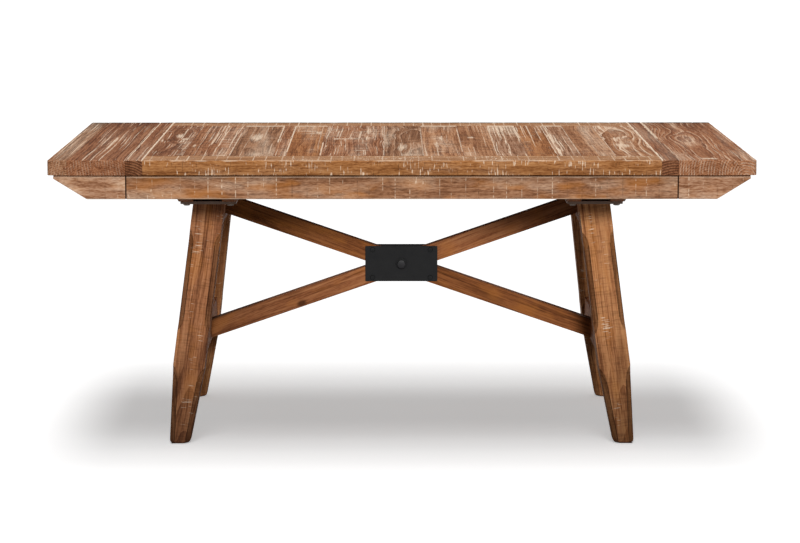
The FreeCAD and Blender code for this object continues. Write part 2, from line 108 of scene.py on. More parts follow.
# The sizes of the wood's marks in millimetres, along and across the grain. On the boards that run away from
# the camera the real marks would be too fine to show, so they are drawn longer.
LONG_GRAIN = dict(pores=(46, 2.4), fibre=(200, 4.5), comb=(1100, 4.2), streak=(900, 18), cloud=(620, 70))
SHORT_GRAIN = dict(pores=(11, 2.4), fibre=(46, 4), comb=(150, 3.6), streak=(200, 11), cloud=(110, 42))
LEG_GRAIN = dict(pores=(13, 2.4), fibre=(120, 3.6), comb=(150, 3.6), streak=(380, 15), cloud=(120, 34))
DRIFT = (420, 160)
DAPPLE = (34, 18)
WARM_SPOTS = (90, 34)
KERF_DOTS = (30, 8)
# The years on a sawn end, drawn wider apart than in most pine so that they show.
END_SPACING = 7 * MM
# Along its length the trunk changes slowly, so its rings are drawn out that way.
TRUNK = (0.06, 1.0, 1.0)
# A cream line blurs this far at its side and fades over so many millimetres at its ends.
LINE_BLUR = 0.6 * MM
LINE_FADE = 8
# The distances, raggedness added, at which a pool of whitewash is full and at which it ends.
POOL = 30 * MM
POOL_EDGE = 44 * MM
RAGGED = 1.6
GRAIN_RELIEF = 0.6 * MM
WOOD_SPECULAR = 0.03
THUMB = 30 * MM
PEEL_RELIEF = 0.15 * MM
STEEL_SPECULAR = 0.2

# What a finish has unless a board says otherwise. Shares of whitewash: lines, bands, haze, kerfs, bite, and
# streaks on the sawn ends; painted_face_sheen is a painted sheen, cream on the show face alone. Shares of
# dark glaze:
# saw and cut_ends; foot and corners are painted shade, low down and on the chamfers; arrises darkens the
# chamfers' narrow rims. Listed marks, in millimetres: edges (side, start, stop, share), pools (side, share),
# shades (axis, side, width, share), patches (place, length, width) and knots (place, size).
FINISH = dict(
    tone="chestnut", grain=LONG_GRAIN, spacing=5 * MM, ring_depth=0.4, pore_depth=1.0, swing=12 * MM,
    lines=0.5, bands=0.2, haze=0.2, painted_face_sheen=0.0, kerfs=0.0, kerf_wear=0.0, bite=0.0,
    bite_size=(5, 24), streaks=0.0, rust=0.0, saw=0.0, saw_size=(30, 70), cut_ends=0.3, foot=0.0, corners=0.0,
    arrises=0.0, edge_width=5.5, edges=(), pools=(), shades=(), patches=(), knots=())
UNWASHED = dict(lines=0.0, bands=0.0, haze=0.0)

# Sockets of a Map Range node: a mark starts to show at 1 and is full at 2, and gives from 3 to 4.
MIDDLE_STAIN = {1: 0.46, 2: 0.84}
PALE_STAIN = {1: 0.78, 2: 1.15}
DARK_CLOUD = {1: 0.46, 2: 0.28, 4: 0.45}
WARM_PATCH = {1: 0.5, 2: 0.68}
LATE_YEARS = {1: 0.3, 2: 0.9}
SAW_GLAZE = {1: 0.48, 2: 0.3}
HAZE = {1: 0.48, 2: 0.72}
BRUSHED = {1: 0.36, 2: 0.56}
UNEVEN_FACE = {1: 0.3, 2: 0.65, 3: 0.3}
END_ARCS = {1: 0.6, 2: 0.1}
PATCHY = {1: 0.36, 2: 0.58}
BROKEN_POOL = {1: 0.22, 2: 0.42}
DARK_BITE = {1: 0.34, 2: 0.26}
GRITTY = {1: 0.28, 2: 0.56, 3: 0.4, 4: 0.95}
WOOD_GLOSS = {1: 0.4, 2: 1.4, 3: 0.56, 4: 0.76}
RUBBED_STEEL = {1: 0.4, 2: 0.75, 4: 0.6}
# The same for the distance from a spot, 1 at its edge, and for how squarely a surface faces one way.
PATCH_EDGE = {1: 1.6, 2: 1.1, 4: 0.8}
KNOT_EDGE = {1: 1.3, 2: 0.6, 4: 0.85}
SAWN_END = {1: 0.5, 2: 0.8}
SHOW_FACE = {1: 0.6, 2: 0.9}
CHAMFER_SHADE = {1: 0.1, 2: 0.32}


def linear(code):
    """An sRGB hex colour as linear RGBA."""
    shares = [int(code[i:i + 2], 16) / 255 for i in (1, 3, 5)]
    return [s / 12.92 if s <= 0.04045 else ((s + 0.055) / 1.055) ** 2.4 for s in shares] + [1.0]


def add(tree, kind, sockets=None, operation=None, **settings):
    """Add one node with its settings; a socket takes a value, an output, or another node's first output."""
    made = tree.nodes.new("ShaderNode" + kind)
    if operation:
        made.operation = operation
    for name, value in settings.items():
        setattr(made, name, value)
    for key, value in (sockets or {}).items():
        if isinstance(value, bpy.types.Node):
            value = value.outputs[0]
        if isinstance(value, bpy.types.NodeSocket):
            tree.links.new(value, made.inputs[key])
        else:
            made.inputs[key].default_value = value
    return made


def empty_tree(owner):
    """The node tree of a material or a world, cleared for nodes of its own."""
    owner.use_nodes = True
    owner.node_tree.nodes.clear()
    return owner.node_tree


def set_surface(tree, colour, bump, rough, specular):
    """Give a material its one surface."""
    shader = add(tree, "BsdfPrincipled", {"Base Color": colour, "Normal": bump, "Roughness": rough,
                                          "Specular IOR Level": specular})
    add(tree, "OutputMaterial", {"Surface": shader})


# A point this near to a face or an edge belongs to it.
NEAR = 2 * MM
# A board's pith lies so far aside and so deep, in millimetres. Its patterns shift by a few of their sizes.
PITH_ASIDE = 40
PITH_DEPTH = (50, 130)
PATTERN_SHIFT = 9


class Board:
    """A length of timber, with its own axes: along the grain, across its face and out of its face."""

    def __init__(self, piece, grain, face, seed):
        grain = grain.normalized()
        face = (face - grain * face.dot(grain)).normalized()
        self.grain, self.across, self.face = grain, face.cross(grain), face
        places = [v.co for v in piece.data.vertices]
        outer = max(p.dot(face) for p in places)
        # The show face and its arrises set the width of a level board, so that a hidden tongue doesn't count.
        rim = [p for p in places if p.dot(face) > outer - NEAR] if grain.z == 0 else places
        spans = [(min(p.dot(way) for p in rim), max(p.dot(way) for p in rim)) for way in (grain, self.across)]
        spans.append((min(p.dot(face) for p in places), outer))
        self.half = [(high - low) / 2 for low, high in spans]
        ways = zip((grain, self.across, face), spans)
        self.middle = sum((way * (low + high) / 2 for way, (low, high) in ways), Vector())
        self.turn = Matrix((grain, self.across, face)).transposed().to_euler()
        self.draw = random.Random(seed)
        self.shift = [self.draw.uniform(-PATTERN_SHIFT, PATTERN_SHIFT) for _ in range(3)]
        self.pith = (self.draw.uniform(-PITH_ASIDE, PITH_ASIDE) * MM, -self.draw.uniform(*PITH_DEPTH) * MM)


def board_axes(tree, board):
    """Object coordinates turned and moved into the board's own axes."""
    place = add(tree, "TexCoord").outputs["Object"]
    return add(tree, "Mapping", {"Vector": place, "Location": board.middle, "Rotation": board.turn},
               vector_type="TEXTURE")


def marks(tree, axes, board, sizes, detail=1.5):
    """Uneven marks, about as large as the sizes along, across and out; a missing size repeats the last."""
    scale = [1 / (size * MM) for size in (sizes[0], sizes[1], sizes[-1])]
    laid = add(tree, "Mapping", {"Vector": axes, "Location": board.shift, "Scale": scale})
    return add(tree, "TexNoise", {"Vector": laid, "Scale": 1.0, "Detail": detail})


def drifting_axes(tree, axes, board, swing):
    """The board's axes with the fibres drifting sideways, as they do round branches."""
    drift = marks(tree, axes, board, DRIFT).outputs["Color"]
    centred = add(tree, "VectorMath", {0: drift, 1: (0.5, 0.5, 0.5)}, "SUBTRACT")
    return add(tree, "VectorMath", {0: centred, 1: (0.0, swing, swing), 2: axes}, "MULTIPLY_ADD")


def year_rings(tree, axes, heart, spacing):
    """Rings round the heart of the trunk: 0 at the start of a year, rising to 1 in its late wood."""
    trunk = add(tree, "Mapping", {"Vector": axes, "Location": (0.0, -heart[0], -heart[1]), "Scale": TRUNK})
    waves = {"Vector": trunk, "Scale": 2 * math.pi / WAVE_RATE / spacing, "Distortion": 1.6, "Detail": 2.0,
             "Detail Scale": 0.8}
    rings = add(tree, "TexWave", waves, wave_type="RINGS", rings_direction="X", wave_profile="SAW")
    return rings.outputs["Fac"]


def facing(tree, way):
    """How squarely the surface faces one way: 1 straight towards it, -1 straight away."""
    normal = add(tree, "NewGeometry").outputs["Normal"]
    return add(tree, "VectorMath", {0: normal, 1: way}, "DOT_PRODUCT").outputs["Value"]


def end_grain(tree, board):
    """1 on the sawn ends of the board, where the fibres are cut across, and 0 on its sides."""
    squarely = add(tree, "Math", {0: facing(tree, board.grain)}, "ABSOLUTE")
    return add(tree, "MapRange", {0: squarely, **SAWN_END})


def distance_in(tree, parts, board, axis, side):
    """The distance in from one side of the board."""
    return add(tree, "Math", {0: parts[axis], 1: -side, 2: board.half[axis]}, "MULTIPLY_ADD")


def spot_distance(tree, axes, board, place, length, width):
    """Distance from a spot on the show face, 1 at its edge; its place on the table is in millimetres."""
    from_middle = Vector(place) * MM - board.middle
    spot = (from_middle.dot(board.grain), from_middle.dot(board.across), board.half[OUT])
    off = add(tree, "VectorMath", {0: axes, 1: spot}, "SUBTRACT")
    scale = (2 / length / MM, 2 / width / MM, 1 / length / MM)
    shape = add(tree, "VectorMath", {0: off, 1: scale}, "MULTIPLY")
    return add(tree, "VectorMath", {0: shape}, "LENGTH").outputs["Value"]


def strongest(tree, layers):
    """The strongest of some layers, place by place."""
    most = layers[0]
    for layer in layers[1:]:
        most = add(tree, "Math", {0: most, 1: layer}, "MAXIMUM")
    return most


def painted(tree, colour, coats):
    """A colour under some coats, from the lowest up, each with its share of the surface."""
    for share, code in coats:
        colour = add(tree, "Mix", {0: share, 6: colour, 7: linear(code)}, data_type="RGBA").outputs[2]
    return colour


def stained_grain(tree, finish, rings, pores, fibre, streak, cloud):
    """Stain: dark in the late wood, pale in the early wood, streaked along the fibres, clouded in places."""
    dark, middle, light = TONES[finish["tone"]]
    # Deeper rings or pores spread the stain without making it darker as a whole.
    even = 0.5 * finish["ring_depth"] - 0.5 * finish["pore_depth"] - 0.03
    grain = add(tree, "Math", {0: rings, 1: -finish["ring_depth"], 2: even}, "MULTIPLY_ADD")
    for pattern, depth in ((streak, 0.7), (fibre, 1.0), (pores, finish["pore_depth"])):
        grain = add(tree, "Math", {0: pattern, 1: depth, 2: grain}, "MULTIPLY_ADD")
    full = add(tree, "MapRange", {0: grain, **MIDDLE_STAIN})
    pale = add(tree, "MapRange", {0: grain, **PALE_STAIN})
    clouded = add(tree, "MapRange", {0: cloud, **DARK_CLOUD})
    return painted(tree, linear(dark), [(full, middle), (pale, light), (clouded, dark)]), grain


def combed_wash(tree, comb, thick, amount):
    """Whitewash left in thin lines by the wire brush, many where the wash went on thick."""
    combed = add(tree, "Math", {0: thick, 1: 0.5, 2: comb}, "MULTIPLY_ADD")
    opened = 0.67 - 0.10 * amount
    return add(tree, "MapRange", {0: combed, 1: opened, 2: opened + 0.05, 4: min(0.95, 0.5 + 0.4 * amount)})


def early_wash(tree, rings, fibre, thick, amount):
    """Whitewash left in the soft early wood, so that the rings show as cream bands."""
    softness = add(tree, "Math", {0: thick, 1: rings}, "SUBTRACT")
    band = add(tree, "MapRange", {0: softness, 1: -0.1 - 0.4 * amount, 2: 0.2 - 0.4 * amount, 4: amount})
    brushed = add(tree, "MapRange", {0: fibre, **BRUSHED})
    return add(tree, "Math", {0: band, 1: brushed}, "MULTIPLY")


def edge_wash(tree, parts, board, dapple, width, side, start, stop, amount):
    """A cream line along one long edge of the show face: whitewash rubbed there, and on an apron's upper
    arris a painted highlight; side 1 is across the board, -1 the other.
    """
    rim = add(tree, "Math", {0: distance_in(tree, parts, board, ACROSS, side),
                             1: distance_in(tree, parts, board, OUT, 1)})
    uneven = add(tree, "Math", {0: dapple, 1: -width * MM, 2: rim}, "MULTIPLY_ADD")
    line = add(tree, "MapRange", {0: uneven, 1: LINE_BLUR, 2: -LINE_BLUR, 4: amount})
    for place, fade in ((start, LINE_FADE), (stop, -LINE_FADE)):
        run = add(tree, "MapRange", {0: parts[ALONG], 1: (place - fade) * MM, 2: (place + fade) * MM})
        line = add(tree, "Math", {0: line, 1: run}, "MULTIPLY")
    return line


def pooled_wash(tree, parts, board, fibre, dapple, side, amount):
    """Whitewash that pooled on the last few centimetres of the board, at its end on that side."""
    left = distance_in(tree, parts, board, ALONG, side)
    ragged = add(tree, "Math", {0: fibre, 1: POOL, 2: left}, "MULTIPLY_ADD")
    pool = add(tree, "MapRange", {0: ragged, 1: POOL_EDGE, 2: POOL, 4: amount})
    broken = add(tree, "MapRange", {0: dapple, **BROKEN_POOL})
    return add(tree, "Math", {0: pool, 1: broken}, "MULTIPLY")


def saw_bite(tree, axes, board, thick, size, amount):
    """Short dashes across the grain from the bite of the saw: shares of cream in some, of glaze in others."""
    bite = marks(tree, axes, board, size, 1.0)
    bitten = add(tree, "Math", {0: bite, 1: thick})
    opened = 0.80 - 0.14 * amount
    cream = add(tree, "MapRange", {0: bitten, 1: opened, 2: opened + 0.07, 4: 0.75})
    dark = add(tree, "MapRange", {0: bite, **DARK_BITE, 4: 0.5 * amount})
    return cream, dark


def aged_pine(name, board, **choices):
    """Knotty pine, wire-brushed, stained and whitewashed: satin brown, cream in its grain and saw marks."""
    finish = FINISH | choices
    material = bpy.data.materials.new(name)
    tree = empty_tree(material)
    axes = board_axes(tree, board)
    bent = drifting_axes(tree, axes, board, finish["swing"])
    parts = add(tree, "SeparateXYZ", {0: axes}).outputs
    rings = year_rings(tree, bent, board.pith, finish["spacing"])
    sizes = finish["grain"]
    pores = marks(tree, bent, board, sizes["pores"], 1.0)
    fibre = marks(tree, bent, board, sizes["fibre"], 2.0)
    comb = marks(tree, bent, board, sizes["comb"])
    streak = marks(tree, bent, board, sizes["streak"])
    cloud = marks(tree, axes, board, sizes["cloud"], 2.0)
    dapple = marks(tree, axes, board, DAPPLE, 2.0)
    ends = end_grain(tree, board)
    sides = add(tree, "Math", {0: ends, 1: -1.0, 2: 1.0}, "MULTIPLY_ADD")
    # The whitewash went on thick where this is above 0.
    thick = add(tree, "Math", {0: cloud, 1: 0.7, 2: -0.35}, "MULTIPLY_ADD")
    colour, grain = stained_grain(tree, finish, rings, pores, fibre, streak, cloud)

    # Under the whitewash: warm patches, glaze where the wood drank it, and dark bands in from the sides.
    coats = []
    if finish["rust"]:
        warm = marks(tree, axes, board, WARM_SPOTS, 2.0)
        coats.append((add(tree, "MapRange", {0: warm, **WARM_PATCH, 4: finish["rust"]}), RUST))
    soak = finish["cut_ends"]
    ringed = add(tree, "MapRange", {0: rings, **LATE_YEARS, 3: 0.4 * soak, 4: 1.5 * soak})
    coats.append((add(tree, "Math", {0: ends, 1: ringed}, "MULTIPLY"), GLAZE))
    if finish["saw"]:
        sawn = marks(tree, axes, board, finish["saw_size"], 1.0)
        coats.append((add(tree, "MapRange", {0: sawn, **SAW_GLAZE, 4: finish["saw"]}), GLAZE))
    # Some of these bands are painted shade, as the boards' own lists say.
    for axis, side, width, amount in finish["shades"]:
        within = distance_in(tree, parts, board, axis, side)
        coats.append((add(tree, "MapRange", {0: within, 1: width * MM, 2: 0.0, 4: amount}), GLAZE))

    # The whitewash: layers that the pores break up, one of them a painted sheen, and crisp lines that they
    # don't, among them a painted highlight on the aprons' upper arris.
    brushed = [add(tree, "MapRange", {0: cloud, **HAZE, 4: finish["haze"]})]
    if finish["lines"]:
        brushed.append(combed_wash(tree, comb, thick, finish["lines"]))
    if finish["bands"]:
        brushed.append(early_wash(tree, rings, fibre, thick, finish["bands"]))
    layers = [add(tree, "Math", {0: strongest(tree, brushed), 1: sides}, "MULTIPLY")]
    # Painted sheen: cream on the show face alone, so that an upturned face looks paler.
    if finish["painted_face_sheen"]:
        laid = add(tree, "MapRange", {0: facing(tree, board.face), **SHOW_FACE, 4: finish["painted_face_sheen"]})
        uneven = add(tree, "MapRange", {0: cloud, **UNEVEN_FACE})
        layers.append(add(tree, "Math", {0: laid, 1: uneven}, "MULTIPLY"))
    if finish["streaks"]:
        arcs = year_rings(tree, axes, [part * MM for part in finish["heart"]], END_SPACING)
        streaked = add(tree, "MapRange", {0: arcs, **END_ARCS, 4: finish["streaks"]})
        for mask in (add(tree, "MapRange", {0: dapple, **PATCHY}), ends):
            streaked = add(tree, "Math", {0: streaked, 1: mask}, "MULTIPLY")
        layers.append(streaked)
    for place, length, width in finish["patches"]:
        far = spot_distance(tree, bent, board, place, length, width)
        ragged = add(tree, "Math", {0: fibre, 1: RAGGED, 2: far}, "MULTIPLY_ADD")
        layers.append(add(tree, "MapRange", {0: ragged, **PATCH_EDGE}))
    crisp = [edge_wash(tree, parts, board, dapple, finish["edge_width"], *edge) for edge in finish["edges"]]
    crisp += [pooled_wash(tree, parts, board, fibre, dapple, *pool) for pool in finish["pools"]]
    if finish["kerfs"]:
        # The mark in the kerfs is above 0 for whitewash and below 0 for glaze.
        kerf = add(tree, "Attribute", attribute_name="saw_kerf").outputs["Fac"]
        dots = marks(tree, axes, board, KERF_DOTS, 1.0)
        worn = finish["kerf_wear"]
        left = {0: dots, 1: 0.26 + 0.16 * worn, 2: 0.5 + 0.1 * worn, 4: finish["kerfs"]}
        filled = add(tree, "Math", {0: kerf, 1: add(tree, "MapRange", left)}, "MULTIPLY")
        crisp.append(filled)
        dirty = add(tree, "Math", {0: filled, 1: -1.0}, "MULTIPLY")
        coats.append((add(tree, "MapRange", {0: dirty, 4: 0.8}), GLAZE))
    if finish["bite"]:
        cream, dark = saw_bite(tree, axes, board, thick, finish["bite_size"], finish["bite"])
        layers.append(add(tree, "Math", {0: cream, 1: sides}, "MULTIPLY"))
        coats.append((dark, GLAZE))
    gritty = add(tree, "MapRange", {0: pores, **GRITTY})
    cover = add(tree, "Math", {0: strongest(tree, layers), 1: gritty}, "MULTIPLY")
    coats.append((strongest(tree, [cover] + crisp), WHITEWASH))

    # Over it: knots that bled through, painted shade low down and on the chamfers, and darker chamfer rims.
    for place, size in finish["knots"]:
        far = spot_distance(tree, bent, board, place, 1.6 * size, size)
        coats.append((add(tree, "MapRange", {0: far, **KNOT_EDGE}), KNOT))
    # Painted shade, darker towards the foot of the board.
    if finish["foot"]:
        length = board.half[ALONG]
        low = {0: parts[ALONG], 1: 0.15 * length, 2: -length, 4: finish["foot"]}
        coats.append((add(tree, "MapRange", low), GLAZE))
    # Painted shade on the chamfers, by how far they face aside.
    if finish["corners"]:
        turned = {i: facing(tree, way) for i, way in enumerate((board.across, board.face))}
        slant = add(tree, "Math", turned, "MULTIPLY")
        slant = add(tree, "Math", {0: slant}, "ABSOLUTE")
        coats.append((add(tree, "MapRange", {0: slant, **CHAMFER_SHADE, 4: finish["corners"]}), GLAZE))
    if finish["arrises"]:
        arris = add(tree, "Attribute", attribute_name="arris").outputs["Fac"]
        coats.append((add(tree, "Math", {0: arris, 1: finish["arrises"]}, "MULTIPLY"), GLAZE))

    relief = add(tree, "Math", {0: fibre, 1: 0.6, 2: rings}, "MULTIPLY_ADD")
    bump = add(tree, "Bump", {"Strength": 0.35, "Distance": GRAIN_RELIEF, "Height": relief})
    rough = add(tree, "MapRange", {0: grain, **WOOD_GLOSS})
    set_surface(tree, painted(tree, colour, coats), bump, rough, WOOD_SPECULAR)
    return material


def coated_steel(name, code, pale_code, grit, gloss):
    """Coated or blackened sheet steel: a matt skin with a fine orange peel, paler where hands rubbed it."""
    material = bpy.data.materials.new(name)
    tree = empty_tree(material)
    place = add(tree, "TexCoord").outputs["Object"]
    peel = add(tree, "TexNoise", {"Vector": place, "Scale": 1 / grit, "Detail": 2.0})
    cloud = add(tree, "TexNoise", {"Vector": place, "Scale": 1 / THUMB, "Detail": 3.0})
    rubbed = add(tree, "MapRange", {0: cloud, **RUBBED_STEEL})
    bump = add(tree, "Bump", {"Strength": 0.25, "Distance": PEEL_RELIEF, "Height": peel})
    rough = add(tree, "MapRange", {0: cloud, 3: gloss - 0.08, 4: gloss + 0.08})
    set_surface(tree, painted(tree, linear(code), [(rubbed, pale_code)]), bump, rough, STEEL_SPECULAR)
    return material


def pick(piece):
    """Select only this piece."""
    bpy.ops.object.select_all(action="DESELECT")
    piece.select_set(True)
    bpy.context.view_layer.objects.active = piece


def edit(piece):
    """Start editing a piece, with everything in it selected."""
    pick(piece)
    bpy.context.tool_settings.mesh_select_mode = (True, False, False)
    bpy.ops.object.mode_set(mode="EDIT")
    bpy.ops.mesh.select_all(action="SELECT")


def finish_editing():
    """Go back to object mode."""
    bpy.ops.object.mode_set(mode="OBJECT")


def edit_chosen(piece, kind, wanted):
    """Start editing a piece with only the wanted vertices, edges or polygons selected."""
    edit(piece)
    bpy.ops.mesh.select_all(action="DESELECT")
    finish_editing()
    bpy.context.tool_settings.mesh_select_mode = [kind == each for each in ("vertices", "edges", "polygons")]
    for part in getattr(piece.data, kind):
        part.select = wanted(part)
    bpy.ops.object.mode_set(mode="EDIT")


def bevel_edges(piece, wanted, offset, segments):
    """Bevel the edges whose two ends are at wanted places."""
    places = [v.co.copy() for v in piece.data.vertices]
    edit_chosen(piece, "edges", lambda edge: all(wanted(places[i]) for i in edge.vertices))
    bpy.ops.mesh.bevel(offset=offset, segments=segments)
    finish_editing()


def new_object(name, data):
    """A new object in the scene."""
    made = bpy.data.objects.new(name, data)
    bpy.context.scene.collection.objects.link(made)
    return made


def mesh_copy(master, name, turn=Matrix()):
    """A copy of a piece, with its own mesh, moved or turned to its place."""
    piece = new_object(name, master.data.copy())
    piece.data.transform(turn)
    return piece


MERGE = 0.005 * MM
FLAT = math.radians(0.5)


def node_copy(name, made_name):
    """A copy of a CAD node as clean faces, to be worked on."""
    piece = mesh_copy(nodes[name], made_name)
    edit(piece)
    bpy.ops.mesh.remove_doubles(threshold=MERGE)
    bpy.ops.mesh.dissolve_limited(angle_limit=FLAT)
    finish_editing()
    return piece


def clad(piece, material):
    """Give a piece its one material."""
    piece.data.materials.clear()
    piece.data.materials.append(material)


def stand_for(piece, name, material):
    """Put a finished piece in the place of a CAD node."""
    clad(piece, material)
    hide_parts(name)
    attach(piece, body_of[name])


def smooth(piece):
    """Smooth shading everywhere but over sharp edges."""
    pick(piece)
    bpy.ops.object.shade_smooth_by_angle(angle=math.radians(28))


# How far edges are rounded by sanding and use.
SOFT = 1.0 * MM
APRON_SOFT = 0.8 * MM
LEG_SOFT = 2.2 * MM
PLATE_SOFT = 0.6 * MM


def soften(piece, radius):
    """Take the sharpness off every edge, as sanding and use do."""
    sanded = piece.modifiers.new("sanded_edges", "BEVEL")
    sanded.width = radius
    sanded.segments = 2
    sanded.limit_method = "ANGLE"
    sanded.angle_limit = math.radians(30)
    smooth(piece)
    bpy.ops.object.modifier_apply(modifier=sanded.name)


def softened_copy(name, radius):
    """A copy of a CAD board, with its edges softened."""
    piece = node_copy(name, f"aged_{name}")
    soften(piece, radius)
    return piece


def dress_board(name, made_name, board, **finish):
    """Put an aged board in the place of a CAD node."""
    stand_for(softened_copy(name, SOFT), name, aged_pine(made_name, board, **finish))


def saw_across(piece, way, places):
    """Cut the faces of a piece square across at each place, without opening them."""
    edit(piece)
    for place in places:
        bpy.ops.mesh.select_all(action="SELECT")
        bpy.ops.mesh.bisect(plane_co=way * place, plane_no=way)
    finish_editing()


KERF_SPACING = 33 * MM
KERF_DEPTH = 0.6 * MM
# Half the width of a kerf on the edge rails and on the aprons.
RAIL_KERF = 2.6 * MM
APRON_KERF = 1.8 * MM
# Along the top edge of an apron the kerfs are dark for this far.
NOTCH = 9 * MM
NOTCH_MARK = -1.6
# A point this near to a face lies on it.
ON_FACE = 0.1 * MM


def kerf_places(board, uneven):
    """Unevenly spaced places for saw kerfs along a board that runs along X."""
    start, stop = board.middle.x - board.half[ALONG], board.middle.x + board.half[ALONG]
    place, places = start + KERF_SPACING * board.draw.uniform(0.5, 1.0), []
    while place < stop - 0.5 * KERF_SPACING:
        places.append(place)
        place += KERF_SPACING * board.draw.uniform(1 - uneven, 1 + uneven)
    return places


def cut_kerfs(piece, board, inward, on_face, half_width, uneven, dark_share):
    """Saw a shallow V over a face at each place, and mark what it holds: above 0 whitewash, below 0 glaze."""
    places = kerf_places(board, uneven)
    saw_across(piece, X, [place + step * half_width for place in places for step in (-1, 0, 1)])
    mark = piece.data.attributes.new("saw_kerf", "FLOAT", "POINT")
    held = {}
    for place in places:
        share = board.draw.uniform(0.4, 1.0)
        held[place] = -share if board.draw.random() < dark_share else share
    for vertex in piece.data.vertices:
        place = min(places, key=lambda at: abs(at - vertex.co.x))
        if abs(place - vertex.co.x) < 0.02 * MM and on_face(vertex.co):
            mark.data[vertex.index].value = held[place] * board.draw.uniform(0.6, 1.3)
            vertex.co += inward * KERF_DEPTH * abs(held[place])


RIM = 4 * MM
WEAR_DEPTH = 1.3 * MM
WEAR_LENGTH = 45 * MM
# The rims that run front to rear are sawn across so that they can dip, so far apart and so often each way.
WEAR_STEP = 22 * MM
WEAR_STEPS = 22


def wear_rim(piece):
    """Wear the table top's rim down and inward in shallow dips, most at the front edge."""
    for vertex in piece.data.vertices:
        place = vertex.co
        inward = Vector((0, 0, -1))
        if abs(place.x) > END - RIM:
            inward.x = -math.copysign(1, place.x)
        if abs(place.y) > -FRONT - RIM:
            inward.y = -math.copysign(1, place.y)
        if place.z > TOP - RIM and (inward.x or inward.y):
            dip = 0.35 + noise.noise(place / WEAR_LENGTH) + 0.5 * noise.noise(place / WEAR_LENGTH * 3.1)
            share = 1.0 if inward.y > 0 else 0.3
            vertex.co += inward * WEAR_DEPTH * share * min(1.0, max(0.0, dip))


# Each kind of board has its own run of seeds, from these on.
PLANK_SEED, EDGE_RAIL_SEED, BORDER_SEED, APRON_SEED = 1, 31, 41, 51
LEG_SEED, LEG_RAIL_SEED, BRACE_SEED, BEAD_SEED, FRAME_SEED = 61, 71, 81, 91, 101

# The planks from left to right. Side 1 is the left for an edge and the rear for a pool, and places along a
# plank run from the front, below 0, to the rear.
PLANKS = [
    dict(tone="umber", lines=0.65, bands=0.3, swing=34 * MM, knots=[((-595, -131, 0), 13)],
         patches=[((-606, 110, 0), 150, 30), ((-585, 20, 0), 90, 40)]),
    dict(lines=0.75, haze=0.25, edges=[(1, 280, 404, 0.9), (-1, -390, 200, 0.7)],
         patches=[((-545, -150, 0), 110, 14)]),
    dict(tone="drab", lines=0.3, bands=0.1, haze=0.5, edges=[(-1, -60, 404, 0.9)], pools=[(1, 0.8)],
         patches=[((-390, 70, 0), 300, 60)]),
    dict(lines=0.6, haze=0.4, edges=[(-1, -300, 404, 1.0)]),
    dict(tone="honey", lines=0.15, bands=0.1, edges=[(-1, -390, -60, 0.9)], pools=[(1, 0.9)],
         patches=[((-226, 200, 0), 130, 26)]),
    dict(lines=0.7, bands=0.3, swing=24 * MM, edges=[(-1, -390, 404, 0.6)],
         patches=[((-150, 30, 0), 40, 130), ((-92, 20, 0), 90, 12)]),
    dict(tone="drab", lines=0.3, bands=0.4, haze=0.5, spacing=9 * MM, swing=35 * MM,
         edges=[(-1, -390, 330, 0.5)], patches=[((5, -190, 0), 240, 40)]),
    dict(tone="tan", lines=0.4, haze=0.4, edges=[(-1, -300, 330, 0.7)], pools=[(1, 0.9)],
         patches=[((92, -120, 0), 280, 18), ((108, 40, 0), 190, 18)]),
    dict(tone="tan", lines=0.3, bands=0.15, edges=[(-1, -390, 404, 0.7)], patches=[((188, 66, 0), 70, 24)]),
    dict(tone="fawn", lines=1.1, haze=0.4, edges=[(-1, 60, 404, 0.9)], pools=[(1, 0.9)]),
    dict(tone="honey", lines=0.75, edges=[(-1, -340, 404, 0.9)]),
    dict(tone="fawn", lines=1.1, haze=0.3, edges=[(-1, -340, 380, 0.7)], pools=[(1, 0.8)],
         patches=[((404, 110, 0), 110, 26)]),
    dict(tone="tan", lines=0.15, bands=0.1, haze=0.45, edges=[(-1, -390, 404, 0.8)]),
    dict(tone="tan", lines=0.3, bands=0.85, haze=0.3, spacing=13 * MM, swing=50 * MM,
         patches=[((590, -150, 0), 130, 70)]),
]
PLANK_SAW = dict(saw=0.3, bite=0.75, bite_size=(12, 70, 12))

# The dark line of the far edge is painted shade where the top's far arris turns away. Seen almost flat, it
# is drawn as wide as it looks in the photograph.
FAR_SHADE_WIDTH = 46


def far_edge(axis):
    """Painted shade along the far edge of the top, darker towards the edge."""
    return [(axis, 1, FAR_SHADE_WIDTH, 0.85), (axis, 1, 0.7 * FAR_SHADE_WIDTH, 0.8)]


